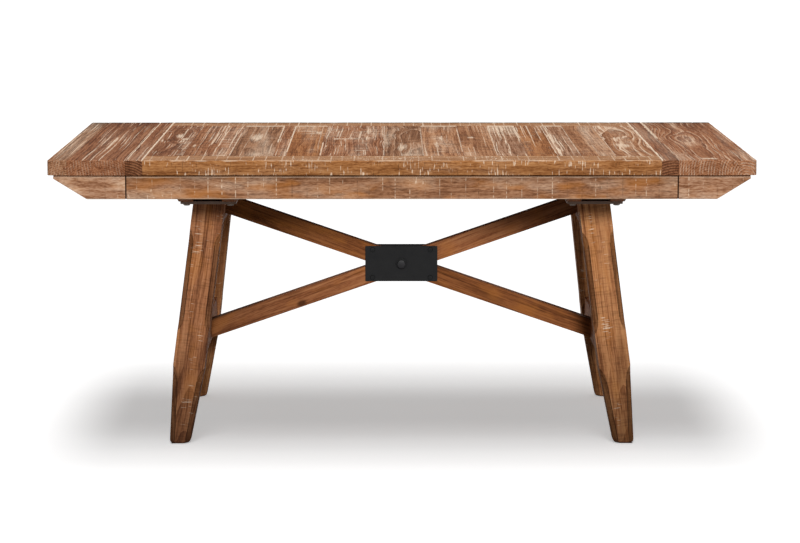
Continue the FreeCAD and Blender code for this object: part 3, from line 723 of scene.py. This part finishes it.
# The boards that run front to rear round the planks, darker towards the far edge and lined there with
# painted shade; side 1 is again the left.
END_SHADE = far_edge(ALONG) + [(ALONG, 1, 240, 0.35)]
BORDERS = {
    "left_seam_strip": dict(
        tone="umber", lines=0.35, bands=0.1, spacing=6.5 * MM, cut_ends=0.5, edge_width=7,
        edges=[(1, -508, 508, 1.0), (-1, -508, 508, 0.95)], shades=far_edge(ALONG)),
    "right_seam_strip": dict(
        tone="umber", lines=0.15, bands=0.1, spacing=6.5 * MM, cut_ends=0.45, edge_width=8,
        edges=[(1, -508, 508, 1.0), (-1, 40, 508, 0.9)], shades=far_edge(ALONG)),
    "left_end_inner_board": dict(
        tone="umber", lines=0.7, bands=0.1, haze=0.1, cut_ends=0.0, streaks=0.22, heart=(-260, 30),
        shades=END_SHADE),
    "left_end_outer_board": dict(
        tone="drab", lines=0.6, haze=0.25, cut_ends=0.05, streaks=0.22, heart=(-120, -30),
        shades=far_edge(ALONG) + [(ALONG, 1, 300, 0.6)]),
    "right_end_inner_board": dict(
        lines=0.3, bands=0.55, haze=0.3, spacing=6 * MM, swing=40 * MM, cut_ends=0.08,
        streaks=0.4, heart=(-100, -14), edges=[(1, 40, 508, 0.9)], patches=[((775, -470, 0), 50, 70)],
        shades=END_SHADE),
    "right_end_outer_board": dict(
        bands=0.3, haze=0.3, spacing=7 * MM, cut_ends=0.08, streaks=0.5,
        heart=(2, -24), shades=END_SHADE),
}
# The edge rails' painted_face_sheen is a painted sheen on their tops.
EDGE_RAIL = dict(tone="amber", grain=SHORT_GRAIN, ring_depth=0.2, lines=0.0, bands=0.0, haze=0.08,
                 painted_face_sheen=0.2, kerfs=1.0, bite=1.0, bite_size=(3.6, 24, 24), cut_ends=0.1, edge_width=5)
# Painted shade on the rails' outer faces, darker towards the bottom, so that the top shows paler than them.
RAIL_FACE_SHADE = (OUT, -1, 40, 0.22)
EDGE_RAILS = {
    "front_edge_rail": dict(edges=[(-1, -651, 651, 0.45)], shades=[RAIL_FACE_SHADE]),
    "rear_edge_rail": dict(shades=[RAIL_FACE_SHADE] + far_edge(ACROSS)),
}
CORNER_ROUND = 5 * MM


def make_top():
    """The planked field, its rails and strips, and the pull-out end boards."""
    for number, finish in enumerate(PLANKS, PLANK_SEED):
        name = f"top_plank_{number:02d}"
        board = Board(nodes[name], Y, Z, number)
        dress_board(name, f"whitewashed_pine_plank_{number:02d}", board, **PLANK_SAW, **finish)
    for seed, (name, finish) in enumerate(BORDERS.items(), BORDER_SEED):
        piece = node_copy(name, f"aged_{name}")
        if "outer" in name:
            bevel_edges(piece, lambda p: abs(p.x) > END - NEAR and abs(p.y) > -FRONT - NEAR, CORNER_ROUND, 3)
        soften(piece, SOFT)
        saw_across(piece, Y, [place * WEAR_STEP for place in range(-WEAR_STEPS, WEAR_STEPS + 1)])
        wear_rim(piece)
        board = Board(nodes[name], Y, Z, seed)
        stand_for(piece, name, aged_pine(f"whitewashed_pine_{name}", board, **finish))
    for seed, (name, finish) in enumerate(EDGE_RAILS.items(), EDGE_RAIL_SEED):
        piece = softened_copy(name, SOFT)
        board = Board(nodes[name], X, Z, seed)
        cut_kerfs(piece, board, -Z, lambda p: p.z > TOP - ON_FACE, RAIL_KERF, uneven=0.25, dark_share=0.0)
        wear_rim(piece)
        stand_for(piece, name, aged_pine(f"whitewashed_pine_{name}", board, **EDGE_RAIL, **finish))


APRON = dict(grain=SHORT_GRAIN, swing=20 * MM, lines=0.0, bands=0.0, rust=0.5, kerfs=0.75, kerf_wear=1.0,
             bite=0.1)
LONG_APRON = dict(tone="drab", ring_depth=0.15, haze=0.3)
APRON_END = dict(tone="fawn", ring_depth=0.08, haze=0.65)


def make_aprons():
    """The long aprons below the top and their bevelled ends, all showing the saw."""
    kinds = ("{}_apron", "left_{}_apron_end", "right_{}_apron_end")
    names = [kind.format(row) for row in ("front", "rear") for kind in kinds]
    for seed, name in enumerate(names, APRON_SEED):
        side = -1 if "front" in name else 1
        board = Board(nodes[name], X, side * Y, seed)
        piece = softened_copy(name, APRON_SOFT)
        low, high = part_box(name)
        show_face = low.y if side < 0 else high.y
        saw_across(piece, Z, [high.z - NOTCH])
        cut_kerfs(piece, board, -side * Y, lambda p: abs(p.y - show_face) < ON_FACE, APRON_KERF, uneven=0.2,
                  dark_share=0.45)
        for vertex, kerf in zip(piece.data.vertices, piece.data.attributes["saw_kerf"].data):
            if vertex.co.z > high.z - 0.2 * NOTCH and kerf.value:
                kerf.value = NOTCH_MARK
        # The long aprons get painted shade along their top, under the overhang of the table top.
        finish = APRON_END if "end" in name else LONG_APRON | dict(shades=[(ACROSS, -side, 20, 0.3)])
        # A cream line of whitewash along the lower edge, and along the upper arris a cream line that is a
        # painted highlight.
        edges = [(side, -900, 900, 0.3), (-side, -900, 900, 0.28)]
        stand_for(piece, name, aged_pine(f"whitewashed_pine_{name}", board, edges=edges, **APRON, **finish))


FOOT_ROUND = 10 * MM
# Where the foot is sawn across for its curve, in shares of the rounding.
FOOT_STEPS = (1.0, 0.62, 0.34, 0.12)
ARRIS = 1.7 * MM
CHAMFER_LENGTH = 150 * MM
CHAMFER_AREA = 900 * MM * MM
CHAMFER_SLANT = 0.4


def middle_at(places, height):
    """The middle of a leg's section at one of its ends."""
    ring = [p for p in places if abs(p.z - height) < MM]
    return Vector([(min(p[i] for p in ring) + max(p[i] for p in ring)) / 2 for i in range(3)])


def round_foot(piece, foot):
    """Round the bottom of a leg, so that it doesn't splinter when the table is dragged."""
    saw_across(piece, Z, [step * FOOT_ROUND for step in FOOT_STEPS])
    bottom = [v.co.x for v in piece.data.vertices if v.co.z < FOOT_ROUND]
    half = (max(bottom) - min(bottom)) / 2
    levels = [round(v.co.z / MM, 1) for v in piece.data.vertices]
    for level in sorted({level for level in levels if level * MM < FOOT_ROUND}):
        fall = 1 - level * MM / FOOT_ROUND
        share = 1 - FOOT_ROUND / half * (1 - math.sqrt(1 - fall * fall))
        edit_chosen(piece, "vertices", lambda vertex: levels[vertex.index] == level)
        bpy.ops.transform.resize(value=(share, share, 1.0), center_override=foot)
        finish_editing()


def line_chamfers(piece, board):
    """Part a narrow rim from each long chamfer, and mark it to be drawn darker."""
    def chamfer(face):
        slant = face.normal.dot(board.across) * face.normal.dot(board.face)
        return abs(slant) > CHAMFER_SLANT and face.area > CHAMFER_AREA
    edit_chosen(piece, "polygons", chamfer)
    bpy.ops.mesh.inset(thickness=ARRIS, use_individual=True)
    finish_editing()
    mark = piece.data.attributes.new("arris", "FLOAT", "FACE")
    for face in piece.data.polygons:
        corners = [piece.data.vertices[i].co for i in face.vertices]
        girth = sum((b - a).length for a, b in zip(corners, corners[1:] + corners[:1]))
        narrow = 2 * face.area < 1.1 * ARRIS * girth
        mark.data[face.index].value = 1.0 if narrow and girth > CHAMFER_LENGTH else 0.0


# Stained pine without whitewash gives a warm brown. Painted shade darkens it towards the feet and on the
# chamfers, and the chamfers' narrow rims are drawn darker.
LEG = dict(grain=LEG_GRAIN, ring_depth=0.3, pore_depth=0.35, spacing=7 * MM, rust=0.3, bite=0.4,
           bite_size=(2.6, 34), saw=0.25, saw_size=(4, 36), cut_ends=0.6, **UNWASHED)
# The painted shade at the feet and on the chamfers is less on the rear legs.
FRONT_LEG = dict(foot=0.74, corners=0.35, arrises=0.75)
REAR_LEG = dict(foot=0.2, arrises=0.4)
LEG_RAIL = dict(tone="auburn", grain=SHORT_GRAIN, bite=0.3, **UNWASHED)
BRACE = dict(grain=LEG_GRAIN, ring_depth=0.15, pore_depth=0.35, rust=0.3, **UNWASHED)
# Painted shade: the braces' top faces under the table top, and the rising brace towards both ends. The
# falling brace takes a darker tone, painted shade for its upper arm under the top.
BRACE_TOP_SHADE = (ACROSS, 1, 7, 0.85)
BRACES = {
    "rising_brace": dict(tone="auburn", knots=[((-270, -18, 320), 16)],
                         shades=[BRACE_TOP_SHADE, (ALONG, -1, 430, 0.4), (ALONG, 1, 300, 0.4)]),
    "falling_brace": dict(tone="cocoa", shades=[BRACE_TOP_SHADE]),
}


def make_trestles():
    """The splayed legs with their rails, and the crossed braces between them."""
    legs = [f"{row}_{side}_leg" for row in ("front", "rear") for side in ("left", "right")]
    for seed, name in enumerate(legs, LEG_SEED):
        front = "front" in name
        places = [v.co for v in nodes[name].data.vertices]
        low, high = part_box(name)
        foot = middle_at(places, low.z)
        head = middle_at(places, high.z)
        board = Board(nodes[name], head - foot, -Y if front else Y, seed)
        piece = softened_copy(name, LEG_SOFT)
        round_foot(piece, foot)
        line_chamfers(piece, board)
        tone = "russet" if name == "front_left_leg" else "copper"
        finish = FRONT_LEG if front else REAR_LEG
        stand_for(piece, name, aged_pine(f"stained_pine_{name}", board, tone=tone, **LEG, **finish))
    rails = [f"{side}_{height}_rail" for side in ("left", "right") for height in ("lower", "upper")]
    for seed, name in enumerate(rails, LEG_RAIL_SEED):
        dress_board(name, f"stained_pine_{name}", Board(nodes[name], Y, Z, seed), **LEG_RAIL)
    for seed, (name, finish) in enumerate(BRACES.items(), BRACE_SEED):
        low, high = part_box(name)
        rise = high.z - low.z if name == "rising_brace" else low.z - high.z
        board = Board(nodes[name], Vector((high.x - low.x, 0, rise)), -Y, seed)
        dress_board(name, f"stained_pine_{name}", board, **BRACE, **finish)


def make_underframe():
    """Plain timber out of sight: bearers, rails, runners and dowels."""
    # Planed pine gives a plain brown, and waxed beech a paler, closer-grained yellow.
    hidden = sorted(name for name in nodes if slot_of[name] in ("frame_pine", "runner_beech"))
    for seed, name in enumerate(hidden, FRAME_SEED):
        if nodes[name].hide_render:
            continue
        low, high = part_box(name)
        grain = X if high.x - low.x > high.y - low.y or "dowels" in name else Y
        made_name, finish = f"planed_pine_{name}", dict(tone="cocoa")
        if slot_of[name] == "runner_beech":
            made_name, finish = f"waxed_beech_{name}", dict(tone="beech", spacing=3 * MM, swing=6 * MM)
        board = Board(nodes[name], grain, Z, seed)
        clad(nodes[name], aged_pine(made_name, board, grain=SHORT_GRAIN, **UNWASHED, **finish))


def loose_boxes(name):
    """The boxes of the separate solids in a CAD node."""
    piece = node_copy(name, "sorting_copy")
    edit(piece)
    bpy.ops.mesh.separate(type="LOOSE")
    finish_editing()
    found = []
    for part in bpy.context.selected_objects:
        places = [v.co for v in part.data.vertices]
        low = Vector([min(p[i] for p in places) for i in range(3)])
        high = Vector([max(p[i] for p in places) for i in range(3)])
        found.append((low, high))
        bpy.data.objects.remove(part)
    return sorted(found, key=lambda box: tuple(box[0]))


# The least share of Y in the normal of a face that looks along it.
STRAIGHT = 0.99
HEX = 6
TOUCH = 0.01 * MM
QUARTER_TURNS = (math.pi / 2, math.pi / 2, 0)
ABOUT_FACE = Matrix.Rotation(math.pi, 4, "Z")
UPRIGHT = Matrix.Rotation(math.pi / 2, 4, "X")


def new_disc(name, sides, diameter, thickness, rounding, segments):
    """A disc that stands out from the origin along -Y, its rim rounded; a hexagon points left and right."""
    bpy.ops.mesh.primitive_cylinder_add(vertices=sides, radius=diameter / 2, depth=thickness,
                                        location=(0, -thickness / 2, 0), rotation=QUARTER_TURNS)
    piece = bpy.context.active_object
    piece.name = name
    bpy.ops.object.transform_apply()
    bevel_edges(piece, lambda p: p.y < -thickness + TOUCH, rounding, segments)
    return piece


def head_and_shank(name, sides, head, thickness, rounding, shank, length, recess=0.0):
    """A fastener with its seat at the origin: the head stands out along -Y and the shank goes in along Y."""
    piece = new_disc(name, sides, head, thickness, rounding, 4)
    if recess:
        edit_chosen(piece, "polygons", lambda face: face.normal.y < -STRAIGHT)
        bpy.ops.mesh.inset(thickness=recess)
        bpy.ops.mesh.extrude_region_move(TRANSFORM_OT_translate={"value": (0, 0.5 * thickness, 0)})
        finish_editing()
    edit_chosen(piece, "polygons", lambda face: face.normal.y > STRAIGHT)
    bpy.ops.mesh.inset(thickness=(head * math.cos(math.pi / sides) - shank) / 2)
    bpy.ops.mesh.extrude_region_move(TRANSFORM_OT_translate={"value": (0, length, 0)})
    finish_editing()
    smooth(piece)
    return piece


def place_copies(master, name, material, turns):
    """Copies of a fastener, each with its own mesh, in the places of a CAD node's solids; the master goes."""
    for number, turn in enumerate(turns, 1):
        stand_for(mesh_copy(master, f"{master.name}_{number:02d}", turn), name, material)
    bpy.data.objects.remove(master)


WASHER_THICKNESS = 2.5 * MM
# Only the head and the nut of the crossing's bolt stand out this far past the plate.
PAST_WASHER = 3 * MM


def make_crossing_bolt(plate_face, black, bright):
    """The bolt through the crossing, with a washer and a nut."""
    low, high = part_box("cross_bolt_set")
    height = (low.z + high.z) / 2
    heads = [box for box in loose_boxes("cross_bolt_set") if box[0].y < -plate_face - PAST_WASHER]
    head_width = max(head_high.x - head_low.x for head_low, head_high in heads)
    washer = new_disc("crossing_washer", 32, high.x - low.x, WASHER_THICKNESS, 0.7 * MM, 2)
    smooth(washer)
    on_front, on_rear = (Matrix.Translation((0, side * plate_face, height)) for side in (-1, 1))
    place_copies(washer, "cross_bolt_set", black, [on_front, on_rear @ ABOUT_FACE])
    seat = plate_face + WASHER_THICKNESS
    shape = dict(sides=HEX, head=head_width, rounding=1.6 * MM, shank=12 * MM)
    bolt = head_and_shank("crossing_bolt", thickness=-low.y - seat, length=2 * seat, **shape)
    place_copies(bolt, "cross_bolt_set", bright, [Matrix.Translation((0, -seat, height))])
    nut = head_and_shank("crossing_nut", thickness=high.y - seat, length=0.5 * MM, **shape)
    place_copies(nut, "cross_bolt_set", bright, [Matrix.Translation((0, seat, height)) @ ABOUT_FACE])


def make_fittings():
    """Steel: the black crossing plates with their screws and bolt, and the plates and bolts over the legs."""
    # Powder coat gives a matt black, phosphate a dark satin grey, worn oxide a dull brown, zinc a warm grey.
    black = coated_steel("powder_coated_steel", "#070708", "#0c0c0e", grit=0.8 * MM, gloss=0.66)
    bright = coated_steel("phosphated_steel", "#100f11", "#18161a", grit=0.6 * MM, gloss=0.4)
    oxide = coated_steel("black_oxide_steel", "#80685a", "#907a6c", grit=0.6 * MM, gloss=0.5)
    zinc = coated_steel("dull_zinc_steel", "#93867c", "#ac9f95", grit=0.6 * MM, gloss=0.4)
    for name, material in (("front_cross_plate", black), ("rear_cross_plate", black), ("leg_plates", oxide)):
        piece = node_copy(name, f"coated_{name}")
        soften(piece, PLATE_SOFT)
        stand_for(piece, name, material)

    plate_face = -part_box("front_cross_plate")[0].y
    boxes = loose_boxes("cross_plate_screws")
    low, high = boxes[0]
    screw = head_and_shank("plate_screw", sides=24, head=high.x - low.x, thickness=-plate_face - low.y,
                           rounding=1.8 * MM, recess=2.4 * MM, shank=5 * MM, length=high.y + plate_face)
    turns = []
    for low, high in boxes:
        middle = (low + high) / 2
        seat = Matrix.Translation((middle.x, math.copysign(plate_face, middle.y), middle.z))
        turns.append(seat @ ABOUT_FACE if middle.y > 0 else seat)
    place_copies(screw, "cross_plate_screws", black, turns)
    make_crossing_bolt(plate_face, black, bright)

    plate_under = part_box("leg_plates")[0].z
    boxes = loose_boxes("leg_plate_bolts")
    low, high = boxes[0]
    bolt = head_and_shank("leg_plate_bolt", sides=HEX, head=high.x - low.x, thickness=plate_under - low.z,
                          rounding=1.4 * MM, shank=8 * MM, length=high.z - plate_under)
    turns = [Matrix.Translation(((low.x + high.x) / 2, (low.y + high.y) / 2, plate_under)) @ UPRIGHT
             for low, high in boxes]
    place_copies(bolt, "leg_plate_bolts", zinc, turns)
    clad(nodes["leg_lag_bolts"], zinc)


BEAD_BACK = 2 * MM
BEAD_PLAY = 0.6 * MM
BEAD_ROUND = 0.5 * MM


def make_joint_beads():
    """Thin beads in the joints of the aprons, so that no light shows through them, coloured as painted shade.
    """
    low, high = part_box("front_apron")
    start = high.x
    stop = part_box("right_front_apron_end")[0].x - BEAD_PLAY
    middle = Vector(((start + stop) / 2, (low.y + high.y) / 2, (low.z + high.z) / 2))
    size = Vector((stop - start, high.y - low.y - 2 * BEAD_BACK, high.z - low.z - BEAD_BACK))
    bpy.ops.mesh.primitive_cube_add(size=1.0, location=(0, 0, 0), scale=size)
    bead = bpy.context.active_object
    bead.name = "joint_bead"
    bpy.ops.object.transform_apply()
    edit(bead)
    bpy.ops.mesh.bevel(offset=BEAD_ROUND, segments=2)
    finish_editing()
    smooth(bead)
    # The pine is coloured near black as painted shade in the joint, a line that hardly shows its grain.
    material = aged_pine("joint_shade_pine_bead", Board(bead, Z, -Y, BEAD_SEED), tone="joint_shade_black",
                         grain=SHORT_GRAIN, **UNWASHED)
    for side_name, side in (("left", -1), ("right", 1)):
        for row_name, row in (("front", -1), ("rear", 1)):
            place = Matrix.Translation((side * middle.x, -row * middle.y, middle.z))
            piece = mesh_copy(bead, f"{side_name}_{row_name}_joint_bead", place)
            clad(piece, material)
            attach(piece, body_of["front_apron"])
    bpy.data.objects.remove(bead)


# The photograph's camera, found from the corners of the top, the aprons and the feet.
SENSOR_WIDTH = 36.0
LENS = 119.04
CAMERA_PLACE = (-28.3 * MM, -7095.3 * MM, 1475.6 * MM)
LOOK_DOWN = math.radians(8.59)
LOOK_ASIDE = math.radians(-0.20)


def set_camera():
    """A long lens a little above the table, seven metres in front of it."""
    camera = bpy.data.cameras.new("front_camera")
    camera.sensor_width = SENSOR_WIDTH
    camera.lens = LENS
    made = new_object("front_camera", camera)
    made.location = CAMERA_PLACE
    made.rotation_euler = (math.pi / 2 - LOOK_DOWN, 0.0, LOOK_ASIDE)
    bpy.context.scene.camera = made


# A row of overhead lamps leans from the front to the rear, and gives the long soft edges of the floor shadow.
OVERHEAD = 0.60
OVERHEAD_SPREAD = 20
OVERHEAD_LEANS = (-0.22, 0.02, 0.26, 0.50)
# The level lamps light the table alone, so they throw no shadow on the floor: level, spread and direction.
LEVEL_LAMPS = {
    "front_softbox": (0.88, 10, (-0.08, 1.0, -0.31)),
    "rear_left_softbox": (0.24, 18, (0.55, -1.0, -0.45)),
    "rear_right_softbox": (0.24, 18, (-0.55, -1.0, -0.45)),
}
ROOM_LIGHT = 0.14
FLOOR_SIZE = 120.0
FLOOR_GLOW = 0.41


def set_softbox(name, level, spread, aim):
    """A broad soft lamp that shines along one direction; level 1 shows a facing colour as it is written."""
    lamp = bpy.data.lights.new(name, "SUN")
    lamp.energy = level * math.pi
    lamp.angle = math.radians(spread)
    made = new_object(name, lamp)
    made.rotation_euler = Vector(aim).to_track_quat("-Z", "Y").to_euler()
    return made


def set_lamps():
    """Soft light from above, in front and behind."""
    for number, lean in enumerate(OVERHEAD_LEANS, 1):
        level = OVERHEAD / len(OVERHEAD_LEANS)
        set_softbox(f"overhead_softbox_{number}", level, OVERHEAD_SPREAD, (0.02, lean, -1.0))
    level_lamps = [set_softbox(name, *setting) for name, setting in LEVEL_LAMPS.items()]
    lit_pieces = bpy.data.collections.new("lit_by_level_lamps")
    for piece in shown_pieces():
        lit_pieces.objects.link(piece)
    for lamp in level_lamps:
        lamp.light_linking.receiver_collection = lit_pieces


def set_room():
    """A room that looks white and adds a little light from all round."""
    world = bpy.data.worlds.new("white_room")
    bpy.context.scene.world = world
    tree = empty_tree(world)
    path = add(tree, "LightPath").outputs
    seen = strongest(tree, [path["Is Camera Ray"], path["Is Transmission Ray"]])
    strength = add(tree, "MapRange", {0: seen, 3: ROOM_LIGHT})
    room = add(tree, "Background", {"Color": linear(WHITE), "Strength": strength})
    add(tree, "OutputWorld", {"Surface": room})


def set_floor():
    """A floor of white paper, matt and even, which keeps the table's shadow."""
    bpy.ops.mesh.primitive_plane_add(size=FLOOR_SIZE, location=(0, 0, 0))
    floor = bpy.context.active_object
    floor.name = "studio_floor"
    material = bpy.data.materials.new("white_paper_floor")
    tree = empty_tree(material)
    path = add(tree, "LightPath").outputs
    seen = strongest(tree, [path["Is Camera Ray"], path["Is Glossy Ray"], path["Is Transmission Ray"]])
    # What it throws back on the table is that of pale paper; what is seen of it is white.
    paper = add(tree, "BsdfDiffuse", {"Color": linear(PAPER)})
    lit = add(tree, "BsdfDiffuse", {"Color": linear(WHITE)})
    glow = add(tree, "Emission", {"Color": linear(WHITE), "Strength": FLOOR_GLOW})
    shown = add(tree, "AddShader", {0: lit, 1: glow})
    surface = add(tree, "MixShader", {0: seen, 1: paper, 2: shown})
    # From below the floor is clear, so that the underside of the table can be seen.
    below = add(tree, "NewGeometry").outputs["Backfacing"]
    surface = add(tree, "MixShader", {0: below, 1: surface, 2: add(tree, "BsdfTransparent")})
    add(tree, "OutputMaterial", {"Surface": surface})
    floor.data.materials.append(material)


make_top()
make_aprons()
make_trestles()
make_underframe()
make_fittings()
make_joint_beads()
set_camera()
set_lamps()
set_room()
set_floor()
bpy.context.scene.view_settings.view_transform = "Standard"
